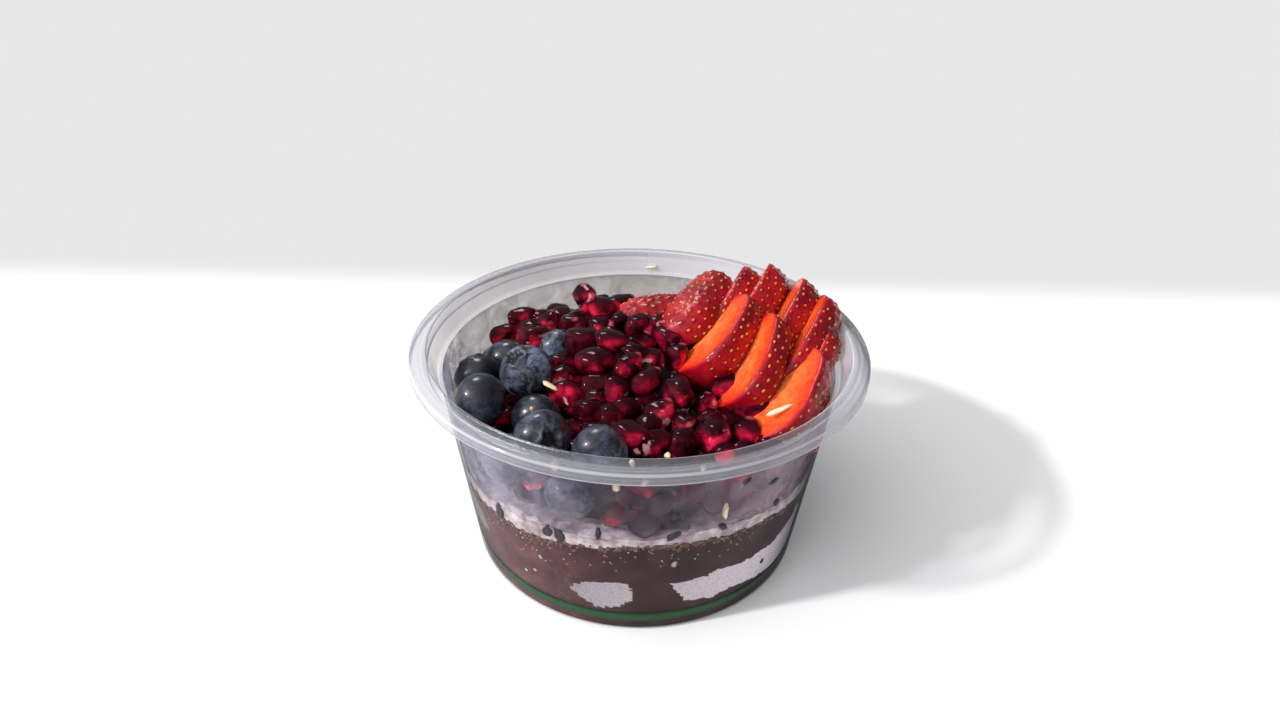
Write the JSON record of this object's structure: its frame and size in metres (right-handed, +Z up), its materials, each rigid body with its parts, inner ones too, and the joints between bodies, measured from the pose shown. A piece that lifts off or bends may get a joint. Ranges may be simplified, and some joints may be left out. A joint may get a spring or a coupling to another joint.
{
  "type": "acai bowl",
  "caption": "Clear plastic tub of acai with a cream layer, topped with blueberries, pomegranate seeds and fanned strawberry slices.",
  "frame": {"origin": "centre of the tub's flat base, on the surface it stands on", "axes": "+Z up along the tub's axis, -Y towards the front, +X to the right seen from the front"},
  "size_m": [0.117, 0.117, 0.0659],
  "materials": {
    "clear_plastic": "clear moulded polypropylene, slightly hazy, with a smooth gloss",
    "acai": "thick frozen acai puree, dark purple brown with small bubbles, moist satin",
    "cream": "soft cream tinted by the acai, with nut crumbs",
    "pomegranate": "glossy dark crimson juice sacs",
    "blueberry": "dark blue skin with a pale waxy bloom",
    "strawberry": "moist red skin with yellow seeds, and an orange red cut face",
    "nuts": "pale slivers and crumbs of almond, and dark cacao nibs"
  },
  "bodies": {
    "root": {"bowl": "clear_plastic", "acai": "acai", "cream_layer": "cream", "pomegranate_heap": "pomegranate", "blueberry_1": "blueberry", "blueberry_2": "blueberry", "blueberry_3": "blueberry", "blueberry_4": "blueberry", "blueberry_5": "blueberry", "blueberry_6": "blueberry", "blueberry_7": "blueberry", "blueberry_8": "blueberry", "strawberry_slice_1": "strawberry", "strawberry_slice_2": "strawberry", "strawberry_slice_3": "strawberry", "strawberry_slice_4": "strawberry", "strawberry_slice_5": "strawberry", "strawberry_slice_6": "strawberry", "strawberry_slice_7": "strawberry", "strawberry_slice_8": "strawberry", "strawberry_slice_9": "strawberry", "strawberry_slice_10": "strawberry", "strawberry_slice_11": "strawberry"}
  },
  "joints": []
}
